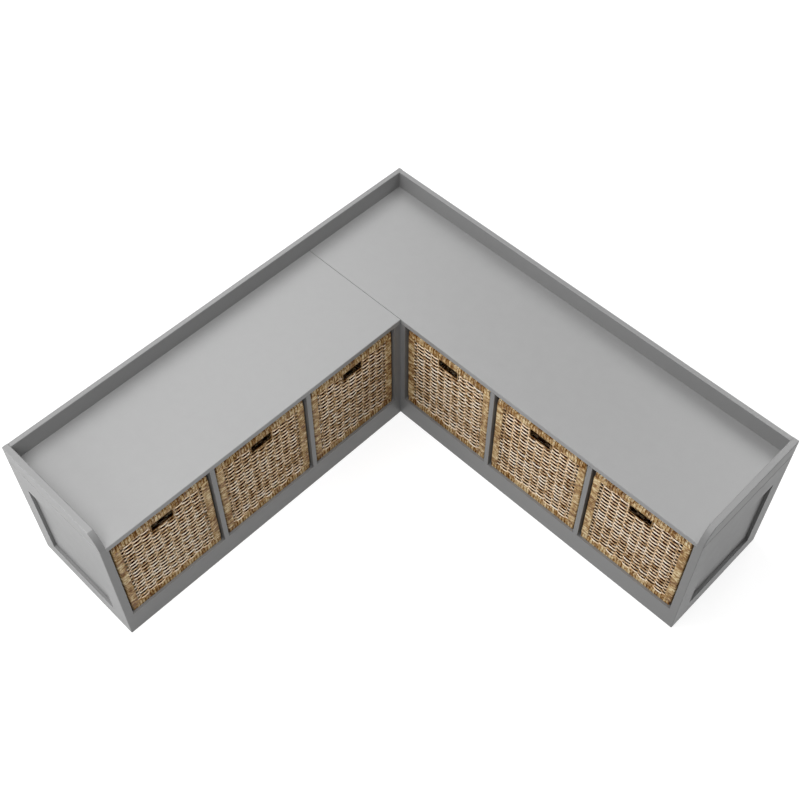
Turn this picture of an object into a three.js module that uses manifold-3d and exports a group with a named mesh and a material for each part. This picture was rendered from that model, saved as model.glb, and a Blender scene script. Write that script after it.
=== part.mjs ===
// Corner storage bench for a hallway: two seat units that meet in the corner of a room, a low
// upstand along both walls and at both free ends, and three woven baskets under each seat.
// The long unit fills the corner and the short unit butts against its front.
//
// Millimetres, +Z up. The long unit runs along X with its back to +Y, the short unit runs
// towards -Y with its back to -X, and the origin is the middle of the footprint on the floor.
// Each unit is drawn in a frame of its own that starts at the corner of the room: x runs along
// the wall, and the distance from the wall runs along y, towards -Y on the long unit and
// towards +Y on the short one, which is then turned a quarter.

import * as THREE from 'three';
import { mergeVertices } from 'three/addons/utils/BufferGeometryUtils.js';
import Module from 'manifold-3d';

// Overall form
const depth = 395; // wall to front, both units
const seatHeight = 448; // floor to the top of the seat
const upstandHeight = 60; // upstand above the seat
const bayWidth = 328; // clear width for one basket
const bayCount = 3; // baskets in each unit
const plinthHeight = 81; // floor to the bottom of a bay

// Boards
const seatThickness = 18;
const dividerThickness = 15;
const bottomThickness = 15;
const plinthThickness = 18;
const backThickness = 6;
const backRise = 15; // floor to the lower edge of the back panel
const partitionThickness = 18;
const cornerEndThickness = 18;
const blindThickness = 18; // board that closes the corner behind the short unit
const innerEndThickness = 24;
const backUpstandThickness = 15;
const endUpstandThickness = 18;
const bottomSeat = 8; // width of the bottom board that rests in the plinth rail
const ease = 1.2; // chamfer that stands for a sanded arris
const seamGap = 1.4; // open joint between the two seats

// Framed free ends
const endThickness = 24;
const frontStileWidth = 64;
const rearStileWidth = 54;
const endBottomRailDrop = 21; // top of the bottom rail below the top of the plinth
const endTopRailHeight = 72; // below the seat
const endPanelThickness = 6;
const tongueLength = 8; // how far a panel or a tenon enters its groove
const jointGroove = 3; // chamfer under an end upstand, which shows as a dark line

// Rounded nose of an end upstand
const noseRun = 32; // length of the top that the nose takes away
const noseBulgeShare = 0.11; // rise of the arc over its chord
const noseSteps = 10;

// Connecting bolts between the units
const boltDiameter = 6;
const boltHeadDiameter = 15;
const boltHeadThickness = 2.5;
const boltEdgeInset = 60; // wall or front to the middle of a bolt
const sleeveDiameter = 9;
const sleeveLength = 14;
const boltReach = 10; // thread inside the sleeve
const boltSides = 12;

// Baskets
const basketSideGap = 5;
const basketTopGap = 17.5;
const basketRearGap = 26;
const basketSetback = 5.5; // behind the front of the bench
const borderWidth = 24; // wrapped border along every edge
const wireDiameter = 3;
const wrapCover = 2.2; // wrapping outside the wire
const weaveThickness = 6; // woven wall behind the border
const weaveRecess = 1; // woven field behind the face of the border
const basketCornerRadius = 6;
const cornerCoverShare = 3; // largest corner radius for each millimetre of cover
const cornerSteps = 3;
const handleWidth = 70;
const handleHeight = 26;
const wireSides = 8;

const fitGap = 0.3; // running and assembly clearance
const overrun = 5; // how far a cutter passes its work

// Sizes that follow
const seatUnderside = seatHeight - seatThickness;
const topHeight = seatHeight + upstandHeight;
const bottomUnderside = plinthHeight - bottomThickness;
const endBottomRailHeight = plinthHeight - endBottomRailDrop;
const baysLength = bayCount * bayWidth + (bayCount - 1) * dividerThickness;
const longFirstBay = depth + partitionThickness;
const shortFirstBay = depth + innerEndThickness;
const longLength = longFirstBay + baysLength + endThickness;
const shortLength = shortFirstBay + baysLength + endThickness;

const basketWidth = bayWidth - 2 * basketSideGap;
const basketDepth = depth - basketSetback - basketRearGap - backThickness;
const basketHeight = seatUnderside - plinthHeight - basketTopGap - fitGap;
const wrapThickness = wireDiameter / 2 + fitGap + wrapCover;
const boltHeight = seatUnderside - basketTopGap / 2;

const paint = new THREE.MeshStandardMaterial({ color: 0x9b9b99, roughness: 0.55, metalness: 0 });
const seagrass = new THREE.MeshStandardMaterial({ color: 0xa98550, roughness: 0.85, metalness: 0 });
const binding = new THREE.MeshStandardMaterial({ color: 0xb08f5c, roughness: 0.8, metalness: 0 });
const wireSteel = new THREE.MeshStandardMaterial({ color: 0x55585a, roughness: 0.4, metalness: 0.9 });
const zincSteel = new THREE.MeshStandardMaterial({ color: 0xb9bcbe, roughness: 0.3, metalness: 1 });

const wasm = await Module();
wasm.setup();

// Turns a closed three.js geometry into a solid that can be joined and cut.
function solid(geometry) {
  const bare = geometry.clone();
  bare.deleteAttribute('normal');
  bare.deleteAttribute('uv');
  const merged = mergeVertices(bare);
  const mesh = new wasm.Mesh({
    numProp: 3,
    vertProperties: new Float32Array(merged.attributes.position.array),
    triVerts: new Uint32Array(merged.index.array),
  });
  return new wasm.Manifold(mesh);
}

// Turns a solid back into a geometry.
function geometryOf(shape) {
  const mesh = shape.getMesh();
  const geometry = new THREE.BufferGeometry();
  geometry.setAttribute('position', new THREE.BufferAttribute(mesh.vertProperties, 3));
  geometry.setIndex(new THREE.BufferAttribute(mesh.triVerts, 1));
  geometry.computeVertexNormals();
  return geometry;
}

// A box between two planes along each axis. Both pieces at a joint name the same plane.
function slab([x0, x1], [y0, y1], [z0, z1]) {
  const box = new THREE.BoxGeometry(1, 1, 1);
  const points = box.attributes.position;
  for (let i = 0; i < points.count; i++) {
    const x = points.getX(i) < 0 ? x0 : x1;
    const y = points.getY(i) < 0 ? y0 : y1;
    const z = points.getZ(i) < 0 ? z0 : z1;
    points.setXYZ(i, x, y, z);
  }
  return box;
}

// Moves every point (a, b, t) of an extrusion so that t runs along the named axis.
function alongAxis(geometry, axis, heightOf) {
  const points = geometry.attributes.position;
  for (let i = 0; i < points.count; i++) {
    const a = points.getX(i);
    const b = points.getY(i);
    const t = heightOf(points.getZ(i));
    if (axis === 'x') points.setXYZ(i, t, a, b);
    if (axis === 'y') points.setXYZ(i, b, t, a);
    if (axis === 'z') points.setXYZ(i, a, b, t);
  }
  return geometry;
}

// Outlines are listed as (y, z) along x, as (x, z) along y and as (x, y) along z.
function shapeFor(axis, outline) {
  const points = outline.map(([a, b]) => (axis === 'y' ? new THREE.Vector2(b, a) : new THREE.Vector2(a, b)));
  return new THREE.Shape(points);
}

// A prism with the given outline between two planes.
function prism(axis, outline, from, to) {
  const unit = new THREE.ExtrudeGeometry(shapeFor(axis, outline), { depth: 1, bevelEnabled: false });
  return alongAxis(unit, axis, (t) => (t < 1 / 2 ? from : to));
}

// The same prism with its two end faces chamfered all round.
function easedPrism(axis, outline, from, to) {
  const raw = new THREE.ExtrudeGeometry(shapeFor(axis, outline), {
    depth: to - from - 2 * ease,
    bevelThickness: ease,
    bevelSize: ease,
    bevelOffset: -ease,
    bevelSegments: 1,
  });
  const middle = (to - from) / 2 - ease;
  return alongAxis(raw, axis, (t) => {
    const outer = t < -ease / 2 || t > to - from - 2 * ease + ease / 2;
    const inset = outer ? 0 : ease;
    return t < middle ? from + inset : to - inset;
  });
}

// A rectangle whose corners are cut where the flags say so, in the order
// low-low, high-low, high-high, low-high.
function easedRectangle([a0, a1], [b0, b1], flags) {
  const corners = [
    [a0, b0, 1, 0, 0, 1],
    [a1, b0, 0, 1, -1, 0],
    [a1, b1, -1, 0, 0, -1],
    [a0, b1, 0, -1, 1, 0],
  ];
  return corners.flatMap(([a, b, nextA, nextB, lastA, lastB], i) => {
    if (!flags[i]) return [[a, b]];
    return [
      [a + lastA * ease, b + lastB * ease],
      [a + nextA * ease, b + nextB * ease],
    ];
  });
}

// A cylinder along x between two planes, round a line at (y, z).
function rod(diameter, [x0, x1], y, z, sides) {
  const cylinder = new THREE.CylinderGeometry(diameter / 2, diameter / 2, x1 - x0, sides);
  cylinder.rotateZ(Math.PI / 2);
  return cylinder.translate((x0 + x1) / 2, y, z);
}

function piece(name, geometry, material) {
  const mesh = new THREE.Mesh(geometry, material);
  mesh.name = name;
  return mesh;
}

// A unit's frame: `away` turns a distance from the wall into y, and `span` does so for a range.
function makeUnit(name, direction) {
  const group = new THREE.Group();
  const away = (w) => direction * w;
  const span = (w0, w1) => (direction > 0 ? [w0, w1] : [-w1, -w0]);
  const add = (part, geometry) => group.add(piece(`${name}_${part}`, geometry, paint));
  return { name, group, direction, away, span, add };
}

// Seat, bottom, plinth, rear rail and back panel between two stations along the wall.
function addCarcass(unit, start, end, seatStart) {
  const seatEnd = end + endThickness - endUpstandThickness;
  const front = unit.direction > 0 ? [0, 1, 1, 0] : [1, 0, 0, 1];
  const seat = easedRectangle(unit.span(0, depth), [seatUnderside, seatHeight], front);
  unit.add('seat_board', prism('x', seat, seatStart, seatEnd));

  const plinthBack = depth - plinthThickness;
  const rebateFront = plinthBack + bottomSeat;
  const plinth = [
    [unit.away(plinthBack), 0],
    [unit.away(depth), 0],
    [unit.away(depth), plinthHeight],
    [unit.away(rebateFront), plinthHeight],
    [unit.away(rebateFront), bottomUnderside],
    [unit.away(plinthBack), bottomUnderside],
  ];
  unit.add('front_plinth_rail', prism('x', plinth, start, end));
  const bottomSpan = unit.span(backThickness, rebateFront);
  unit.add('bottom_board', slab([start, end], bottomSpan, [bottomUnderside, plinthHeight]));
  const rearSpan = unit.span(backThickness, backThickness + plinthThickness);
  unit.add('rear_plinth_rail', slab([start, end], rearSpan, [0, bottomUnderside]));
  unit.add('back_panel', slab([start, end], unit.span(0, backThickness), [backRise, seatUnderside]));
}

function addDividers(unit, firstBay) {
  const names = ['divider_inner', 'divider_outer'];
  for (let i = 1; i < bayCount; i++) {
    const start = firstBay + i * bayWidth + (i - 1) * dividerThickness;
    const standing = [plinthHeight, seatUnderside];
    const divider = slab([start, start + dividerThickness], unit.span(backThickness, depth), standing);
    unit.add(names[i - 1] ?? `divider_${i + 1}`, divider);
  }
}

// Frame and panel at the free end: two grooved stiles from floor to seat, two rails with stub
// tenons in those grooves, and a thin panel held in all four. The seat rests in a rebate.
function addFramedEnd(unit, inside) {
  const outside = inside + endThickness;
  const seatStop = outside - endUpstandThickness;
  const grooveFrom = inside + (endThickness - endPanelThickness) / 2;
  const groove = [grooveFrom, grooveFrom + endPanelThickness];
  const tongue = [groove[0] + fitGap, groove[1] - fitGap];
  const frontJoint = depth - frontStileWidth;
  const rearJoint = rearStileWidth;
  const topRailUnderside = seatUnderside - endTopRailHeight;

  const outerArris = [
    [outside, seatHeight - jointGroove],
    [outside - jointGroove, seatHeight],
  ];
  const rebate = slab([inside - overrun, seatStop], unit.span(-overrun, depth + overrun), [
    seatUnderside,
    seatHeight + overrun,
  ]);
  const lineCutter = prism(
    'y',
    [...outerArris, [outside + overrun, seatHeight + overrun]],
    ...unit.span(-overrun, depth + overrun),
  );

  const addStile = (name, from, to, joint, outerFlags) => {
    const plan = easedRectangle([inside, outside], unit.span(from, to), outerFlags);
    const slot = slab(groove, unit.span(joint - tongueLength, joint + tongueLength), [
      -overrun,
      seatHeight + overrun,
    ]);
    const cut = solid(prism('z', plan, 0, seatHeight))
      .subtract(solid(slot))
      .subtract(solid(rebate))
      .subtract(solid(lineCutter));
    unit.add(name, geometryOf(cut));
  };
  const frontFlags = unit.direction > 0 ? [0, 0, 1, 0] : [0, 1, 0, 0];
  const rearFlags = unit.direction > 0 ? [0, 1, 0, 0] : [0, 0, 1, 0];
  addStile('end_front_stile', frontJoint, depth, frontJoint, frontFlags);
  addStile('end_rear_stile', 0, rearJoint, rearJoint, rearFlags);

  const between = unit.span(rearJoint, frontJoint);
  const tenonReach = tongueLength - fitGap;
  const tenoned = unit.span(rearJoint - tenonReach, frontJoint + tenonReach);
  const topOutline = [
    [inside, topRailUnderside],
    [groove[0], topRailUnderside],
    [groove[0], topRailUnderside + tongueLength],
    [groove[1], topRailUnderside + tongueLength],
    [groove[1], topRailUnderside],
    [outside, topRailUnderside],
    ...outerArris,
    [seatStop, seatHeight],
    [seatStop, seatUnderside],
    [inside, seatUnderside],
  ];
  const topTenon = slab(tongue, tenoned, [topRailUnderside + tongueLength, seatUnderside]);
  const topRail = solid(prism('y', topOutline, ...between)).add(solid(topTenon));
  unit.add('end_top_rail', geometryOf(topRail));

  const bottomOutline = [
    [inside, 0],
    [outside, 0],
    [outside, endBottomRailHeight],
    [groove[1], endBottomRailHeight],
    [groove[1], endBottomRailHeight - tongueLength],
    [groove[0], endBottomRailHeight - tongueLength],
    [groove[0], endBottomRailHeight],
    [inside, endBottomRailHeight],
  ];
  const bottomTenon = slab(tongue, tenoned, [0, endBottomRailHeight - tongueLength]);
  const bottomRail = solid(prism('y', bottomOutline, ...between)).add(solid(bottomTenon));
  unit.add('end_bottom_rail', geometryOf(bottomRail));

  const panelHeights = [
    endBottomRailHeight - tongueLength + fitGap,
    topRailUnderside + tongueLength - fitGap,
  ];
  unit.add('end_panel', slab(tongue, tenoned, panelHeights));
}

// Arc from the flat top of an end upstand down to the front of the seat, bulging outwards.
function nosePoints(unit) {
  const top = new THREE.Vector2(depth - noseRun, topHeight);
  const toe = new THREE.Vector2(depth, seatHeight);
  const chord = toe.clone().sub(top);
  const rise = noseBulgeShare * chord.length();
  const radius = chord.lengthSq() / (8 * rise) + rise / 2;
  const outward = new THREE.Vector2(-chord.y, chord.x).normalize();
  const middle = top.clone().add(toe).multiplyScalar(1 / 2);
  const centre = middle.addScaledVector(outward, rise - radius);
  const first = top.clone().sub(centre).angle();
  const turn = 2 * Math.asin(chord.length() / (2 * radius));
  const points = [];
  for (let i = 1; i < noseSteps; i++) {
    const angle = first - (turn * i) / noseSteps;
    const across = centre.x + radius * Math.cos(angle);
    points.push([unit.away(across), centre.y + radius * Math.sin(angle)]);
  }
  return points;
}

// The upstand across a free end, flush with the outside of the framed end.
function addEndUpstand(unit, outside) {
  const outline = [
    [unit.away(0), seatHeight],
    [unit.away(0), topHeight],
    [unit.away(depth - noseRun), topHeight],
    ...nosePoints(unit),
    [unit.away(depth), seatHeight],
  ];
  unit.add('end_upstand', easedPrism('x', outline, outside - endUpstandThickness, outside));
}

function addBackUpstand(unit, start, end) {
  const section = easedRectangle(unit.span(0, backUpstandThickness), [seatHeight, topHeight], [0, 0, 1, 1]);
  unit.add('back_upstand', prism('x', section, start, end));
}

// Stations of the two bolts, measured from the wall along the joint between the units.
const boltStations = { rear: boltEdgeInset, front: depth - boltEdgeInset };

// Removes the bolt holes from a board that stands across x.
function boredAlongX(board, diameter, [x0, x1], yOf) {
  return Object.values(boltStations).reduce(
    (work, station) => work.subtract(solid(rod(diameter, [x0, x1], yOf(station), boltHeight, boltSides))),
    solid(board),
  );
}

// Boards that only the long unit has, round the hollow in the corner of the room.
function addCorner(unit, outer) {
  const standing = [plinthHeight, seatUnderside];
  const cornerEnd = slab([0, cornerEndThickness], unit.span(0, depth), [0, seatUnderside]);
  outer.add(piece('corner_end_panel', cornerEnd, paint));
  const partition = slab([depth, longFirstBay], unit.span(backThickness, depth), standing);
  outer.add(piece('corner_partition', partition, paint));

  const blindSpan = unit.span(depth - blindThickness, depth);
  const blind = slab([cornerEndThickness, depth], blindSpan, standing);
  const bored = Object.values(boltStations).reduce((work, station) => {
    const hole = rod(sleeveDiameter + 2 * fitGap, [-overrun, blindThickness + overrun], 0, 0, boltSides);
    hole.rotateZ(-Math.PI / 2).translate(station, unit.away(depth - blindThickness), boltHeight);
    return work.subtract(solid(hole));
  }, solid(blind));
  outer.add(piece('corner_blind_panel', geometryOf(bored), paint));
}

// A solid of revolution about x from its radii and stations, closed on the axis.
function turned(stations) {
  const profile = stations.map(([along, diameter]) => new THREE.Vector2(diameter / 2, along));
  return new THREE.LatheGeometry(profile, boltSides).rotateZ(-Math.PI / 2);
}

// One bolt and its sleeve nut, in the frame of the short unit. The head is in the first bay,
// above the basket, and the sleeve enters from the hollow corner.
function addConnector(unit, outer, label, station) {
  const headFace = shortFirstBay + fitGap;
  const sleeveFace = depth - blindThickness - fitGap;
  const sleeveEnd = sleeveFace + sleeveLength;
  const tip = sleeveEnd - boltReach;
  const bolt = turned([
    [tip, 0],
    [tip, boltDiameter],
    [headFace, boltDiameter],
    [headFace, boltHeadDiameter],
    [headFace + boltHeadThickness, boltHeadDiameter],
    [headFace + boltHeadThickness, 0],
  ]);
  const bore = boltDiameter + 2 * fitGap;
  const boreEnd = tip - fitGap;
  const sleeve = turned([
    [sleeveFace - boltHeadThickness, 0],
    [sleeveFace - boltHeadThickness, boltHeadDiameter],
    [sleeveFace, boltHeadDiameter],
    [sleeveFace, sleeveDiameter],
    [sleeveEnd, sleeveDiameter],
    [sleeveEnd, bore],
    [boreEnd, bore],
    [boreEnd, 0],
  ]);
  for (const [name, geometry] of [[`connecting_bolt_${label}`, bolt], [`connecting_sleeve_${label}`, sleeve]]) {
    const mesh = piece(name, geometry, zincSteel);
    mesh.position.set(0, unit.away(station), boltHeight);
    outer.add(mesh);
  }
}

// Baskets. Drawn with the middle of the base at the origin and the handle towards -Y.

function roundedOutline(width, length, radius) {
  const points = [];
  const signs = [[1, 1], [-1, 1], [-1, -1], [1, -1]];
  signs.forEach(([sx, sy], quarter) => {
    for (let i = 0; i <= cornerSteps; i++) {
      const angle = (quarter + i / cornerSteps) * (Math.PI / 2);
      const x = sx * (width / 2 - radius) + radius * Math.cos(angle);
      const y = sy * (length / 2 - radius) + radius * Math.sin(angle);
      points.push([x, y]);
    }
  });
  return points;
}

const centred = (size) => [-size / 2, size / 2];
const cornerRadius = Math.min(basketCornerRadius, wrapCover * cornerCoverShare);

// A rounded block inside the basket's outer size, set in by `inset` on every side.
function basketCore(inset, from, to) {
  const radius = Math.max(cornerRadius - inset, fitGap);
  const outline = roundedOutline(basketWidth - 2 * inset, basketDepth - 2 * inset, radius);
  return solid(prism('z', outline, from, to));
}

// The twelve edges of the basket's wire frame as bars of the given section.
function edgeBars(makeBar) {
  const halfWidth = basketWidth / 2 - wrapThickness;
  const halfDepth = basketDepth / 2 - wrapThickness;
  const low = wrapThickness;
  const high = basketHeight - wrapThickness;
  const bars = [];
  for (const y of [-halfDepth, halfDepth]) {
    for (const z of [low, high]) bars.push(makeBar('x', [-halfWidth, halfWidth], y, z));
    for (const x of [-halfWidth, halfWidth]) bars.push(makeBar('z', [low, high], x, y));
  }
  for (const x of [-halfWidth, halfWidth]) {
    for (const z of [low, high]) bars.push(makeBar('y', [-halfDepth, halfDepth], z, x));
  }
  return bars.reduce((whole, bar) => whole.add(bar));
}

// A bar along an axis; a and b are its place on the two axes that follow in the order x, y, z.
function bar(axis, [from, to], a, b, size, sides) {
  const outline = [];
  for (let i = 0; i < sides; i++) {
    const angle = ((i + 1 / 2) * 2 * Math.PI) / sides;
    const reach = size / 2 / Math.cos(Math.PI / sides);
    const first = a + reach * Math.cos(angle);
    const second = b + reach * Math.sin(angle);
    outline.push(axis === 'y' ? [second, first] : [first, second]);
  }
  return solid(prism(axis, outline, from - size / 2, to + size / 2));
}

const channelSize = wireDiameter + 2 * fitGap;
const channels = edgeBars((axis, range, a, b) => bar(axis, range, a, b, channelSize, 4));
const wireFrame = edgeBars((axis, range, a, b) => bar(axis, range, a, b, wireDiameter, wireSides));

const weaveInset = wrapThickness + fitGap;
const cavityInset = weaveInset + weaveThickness;

// Windows of the border: the woven field of each side and of the base, less a gap all round.
function fields(gap, reach) {
  const halfBorder = borderWidth + gap;
  const tall = [halfBorder, basketHeight - halfBorder];
  const wide = centred(basketWidth - 2 * halfBorder);
  const long = centred(basketDepth - 2 * halfBorder);
  const across = slab(wide, centred(basketDepth + 2 * reach), tall);
  const along = slab(centred(basketWidth + 2 * reach), long, tall);
  const base = slab(wide, long, [-reach, basketHeight / 2]);
  return solid(across).add(solid(along)).add(solid(base));
}

const cavity = basketCore(cavityInset, weaveInset + weaveThickness, basketHeight + overrun);

const border = basketCore(0, 0, basketHeight)
  .subtract(basketCore(wrapThickness, wrapThickness, basketHeight - wrapThickness))
  .subtract(cavity)
  .subtract(fields(0, overrun))
  .subtract(channels);

const handleTop = basketHeight - borderWidth;
const handleHole = slab(
  centred(handleWidth),
  [-basketDepth / 2 - overrun, -basketDepth / 2 + cavityInset + overrun],
  [handleTop - handleHeight, handleTop],
);
const weave = basketCore(weaveInset, weaveInset, basketHeight - weaveInset)
  .add(fields(fitGap, -weaveRecess))
  .subtract(cavity)
  .subtract(solid(handleHole))
  .subtract(channels);

const basketGeometry = {
  weave: [geometryOf(weave), seagrass],
  border: [geometryOf(border), binding],
  wire_frame: [geometryOf(wireFrame), wireSteel],
};

function addBasket(unit, outer, label, middle) {
  const basket = new THREE.Group();
  for (const [part, [geometry, material]] of Object.entries(basketGeometry)) {
    basket.add(piece(`basket_${unit.name}_${label}_${part}`, geometry, material));
  }
  const fromWall = depth - basketSetback - basketDepth / 2;
  basket.position.set(middle, unit.away(fromWall), plinthHeight + fitGap);
  basket.rotation.z = unit.direction > 0 ? Math.PI : 0;
  outer.add(basket);
}

function addBaskets(unit, outer, firstBay) {
  const labels = ['inner', 'middle', 'outer'];
  for (let i = 0; i < bayCount; i++) {
    const middle = firstBay + bayWidth / 2 + i * (bayWidth + dividerThickness);
    addBasket(unit, outer, labels[i] ?? `${i + 1}`, middle);
  }
}

// The two units

const long = makeUnit('long', -1);
addCarcass(long, cornerEndThickness, longLength - endThickness, 0);
addDividers(long, longFirstBay);
addFramedEnd(long, longLength - endThickness);
addEndUpstand(long, longLength);
addBackUpstand(long, backUpstandThickness, longLength - endUpstandThickness);
addCorner(long, long.group);
addBaskets(long, long.group, longFirstBay);

const short = makeUnit('short', 1);
addCarcass(short, shortFirstBay, shortLength - endThickness, depth + seamGap);
addDividers(short, shortFirstBay);
addFramedEnd(short, shortLength - endThickness);
addEndUpstand(short, shortLength);
addBackUpstand(short, 0, shortLength - endUpstandThickness);
const innerEnd = slab([depth, shortFirstBay], short.span(0, depth), [0, seatUnderside]);
const boltRange = [depth - overrun, shortFirstBay + overrun];
const innerEndBored = boredAlongX(innerEnd, sleeveDiameter + 2 * fitGap, boltRange, short.away);
short.add('inner_end', geometryOf(innerEndBored));
for (const [label, station] of Object.entries(boltStations)) {
  addConnector(short, short.group, label, station);
}
addBaskets(short, short.group, shortFirstBay);

short.group.rotation.z = -Math.PI / 2;

const bench = new THREE.Group();
bench.add(long.group, short.group);
bench.position.set(-longLength / 2, shortLength / 2, 0);

export default bench;
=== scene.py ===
"""Looks of the corner storage bench: painted boards, six woven baskets, steel and the stage.

All sizes are in metres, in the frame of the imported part: +Z up, the floor at zero, the corner
of the room towards -X and +Y. Run it as a script; the panel only shows what can be changed.
"""

import bpy
import numpy as np
from bpy.props import FloatProperty, FloatVectorProperty, IntProperty, PointerProperty
from bpy.types import Operator, Panel, PropertyGroup
from mathutils import Matrix, Vector


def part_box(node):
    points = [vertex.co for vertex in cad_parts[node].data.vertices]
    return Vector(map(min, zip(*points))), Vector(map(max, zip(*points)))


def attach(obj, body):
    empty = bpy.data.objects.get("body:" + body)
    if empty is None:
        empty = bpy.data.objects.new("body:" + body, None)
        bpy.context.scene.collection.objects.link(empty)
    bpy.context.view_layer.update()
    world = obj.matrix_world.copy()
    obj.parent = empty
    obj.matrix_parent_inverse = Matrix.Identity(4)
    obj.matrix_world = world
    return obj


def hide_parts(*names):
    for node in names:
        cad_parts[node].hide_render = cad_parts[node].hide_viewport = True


bl_info = {
    "name": "Corner storage bench",
    "version": (1, 0, 0),
    "blender": (4, 5, 0),
    "location": "3D View > Sidebar > Bench",
    "description": "Paint, baskets, steel and stage of a corner storage bench",
    "category": "Object",
}

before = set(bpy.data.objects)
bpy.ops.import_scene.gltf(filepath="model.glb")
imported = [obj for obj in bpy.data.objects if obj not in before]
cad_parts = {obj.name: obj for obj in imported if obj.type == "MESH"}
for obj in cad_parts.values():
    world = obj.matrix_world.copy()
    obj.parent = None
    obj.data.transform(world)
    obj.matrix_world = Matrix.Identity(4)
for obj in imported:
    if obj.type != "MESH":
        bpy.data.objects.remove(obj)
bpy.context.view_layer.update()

MM = 0.001
UNITS = ("long", "short")
BAYS = ("inner", "middle", "outer")
BASKETS = [(unit, bay) for unit in UNITS for bay in BAYS]
WHITE = (1.0, 1.0, 1.0)


def linear(code):
    """Linear colour of an sRGB hex code.

    It is c / 12.92 up to 0.04045, and ((c + 0.055) / 1.055) ** 2.4 above.
    """
    c = np.array([int(code[i : i + 2], 16) for i in (1, 3, 5)]) / 255
    return tuple(np.where(c <= 0.04045, c / 12.92, ((c + 0.055) / 1.055) ** 2.4).tolist())


def basket_size():
    """Width, depth and height of a basket, from the CAD border of the long unit's middle one."""
    lo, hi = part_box("basket_long_middle_border")
    return hi - lo


BASKET = basket_size()
HALF = np.array([BASKET.x / 2, BASKET.y / 2])
TALL = BASKET.z


def length(name, description, default):
    """A size that a user may change, in metres."""
    return FloatProperty(
        name=name, description=description, default=default, unit="LENGTH", min=0, precision=5
    )


def power(name, description, default):
    """The power of a lamp that a user may change, in watts."""
    return FloatProperty(name=name, description=description, default=default, unit="POWER", min=0)


def colour(name, description, code):
    """A colour that a user may change, written as an sRGB hex code."""
    return FloatVectorProperty(
        name=name, description=description, default=linear(code), subtype="COLOR", min=0, max=1
    )


class PaintSettings(PropertyGroup):
    frame_colour: colour("Frame", "Satin lacquer of the frame, ends and upstands", "#7C7C7C")
    seat_colour: colour("Seat", "Satin lacquer of the two seat boards", "#8B8B8B")
    roughness: FloatProperty(
        name="Roughness",
        description="Roughness of the satin lacquer",
        default=0.42,
        min=0,
        max=1,
        subtype="FACTOR",
    )
    peel: length("Orange peel", "Width of the ripples that the spray leaves", 1.6 * MM)
    mottle: length("Mottling", "Width of the faint patches in the lacquer", 35 * MM)


# The real rows are about 5.9 mm high, and the real turns of the binding are narrower too. At the
# photograph's size those blur to an even tone, so both are drawn coarser than they are.
class WeaveSettings(PropertyGroup):
    front_stakes: IntProperty(
        name="Stakes across", description="Stakes across the front and the back", default=11, min=4
    )
    side_stakes: IntProperty(
        name="Stakes along", description="Stakes along each side", default=13, min=4
    )
    row_pitch: length("Row pitch", "Height of one woven row", 7.6 * MM)
    strand_height: length("Strand height", "Half the height of a strand", 3.1 * MM)
    strand_depth: length("Strand depth", "Half the thickness of a strand", 1.5 * MM)
    swing: length("Swing", "How far a strand leaves the middle of the wall at a stake", 2.6 * MM)
    wall_inset: length("Wall inset", "Middle of the woven wall behind the border's face", 5.2 * MM)
    hidden_inset: length("Hidden inset", "The same where the border covers the wall", 6.6 * MM)
    stake_width: length("Stake width", "Half the width of a stake", 5 * MM)
    base_pitch: length("Base pitch", "Width of one strand in the base", 8 * MM)
    pale: colour("Pale strand", "Lightest dried seagrass", "#FFF2E0")
    mid: colour("Middle strand", "Most of the dried seagrass", "#FCDDB6")
    deep: colour("Deep strand", "Darkest dried seagrass", "#A98354")
    # This colour is painted shade, which the relief lays where the weave lies deep.
    painted_crevice_shade: colour("Crevice", "Dust and shade between the strands", "#401C08")


class BindingSettings(PropertyGroup):
    width: length("Width", "Width of the wrapped border on each face", 24 * MM)
    thickness: length("Thickness", "Thickness of the border through the wall", 10.6 * MM)
    wrap_pitch: length("Wrap pitch", "Width of one turn on the top and bottom border", 9.5 * MM)
    band_pitch: length("Band pitch", "Width of one turn on the upright borders", 14 * MM)
    groove: length("Groove", "Depth of the groove between two turns", 1.3 * MM)
    corner: length("Corner", "Radius of the border's outer corner", 5 * MM)
    slot_width: length("Slot width", "Width of the handle slot", 70 * MM)
    slot_height: length("Slot height", "Height of the handle slot", 26 * MM)
    pale: colour("Pale turn", "Lightest leaf of the binding", "#E8D4A9")
    mid: colour("Middle turn", "Most of the binding", "#B08C59")
    deep: colour("Deep turn", "Darkest leaf of the binding", "#704A24")


class StageSettings(PropertyGroup):
    lens: FloatProperty(
        name="Lens", description="Focal length on a 36 mm sensor", default=54.77, unit="CAMERA"
    )
    sky: FloatProperty(
        name="Sky", description="Strength of the even light all round", default=0.12, min=0
    )
    overhead: power("Overhead", "Power of the large soft box above", 37)
    key: power("Key", "Power of the soft box above the left", 43)
    low: power("Low fill", "Power of the small box low at the left", 23)
    front: power("Front fill", "Power of the box in front of the bench", 18)
    back_left: power("Back left", "Power of the box behind the left wing", 26)
    back_right: power("Back right", "Power of the box behind the right wing", 34)
    floor: colour("Floor", "Pale floor as the object sees it", "#A4A4A4")


class BenchSettings(PropertyGroup):
    paint: PointerProperty(type=PaintSettings)
    weave: PointerProperty(type=WeaveSettings)
    binding: PointerProperty(type=BindingSettings)
    stage: PointerProperty(type=StageSettings)


# Materials


def add(tree, kind, inputs=None, **settings):
    """Adds a node with its settings; each input is a value or the output socket that feeds it."""
    made = tree.nodes.new(kind)
    for name, value in settings.items():
        setattr(made, name, value)
    for key, value in (inputs or {}).items():
        if isinstance(value, bpy.types.NodeSocket):
            tree.links.new(value, made.inputs[key])
        else:
            made.inputs[key].default_value = value
    return made


def blank(name):
    """A new material with an empty node tree, and that tree."""
    made = bpy.data.materials.new(name)
    made.use_nodes = True
    made.node_tree.nodes.clear()
    return made, made.node_tree


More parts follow.
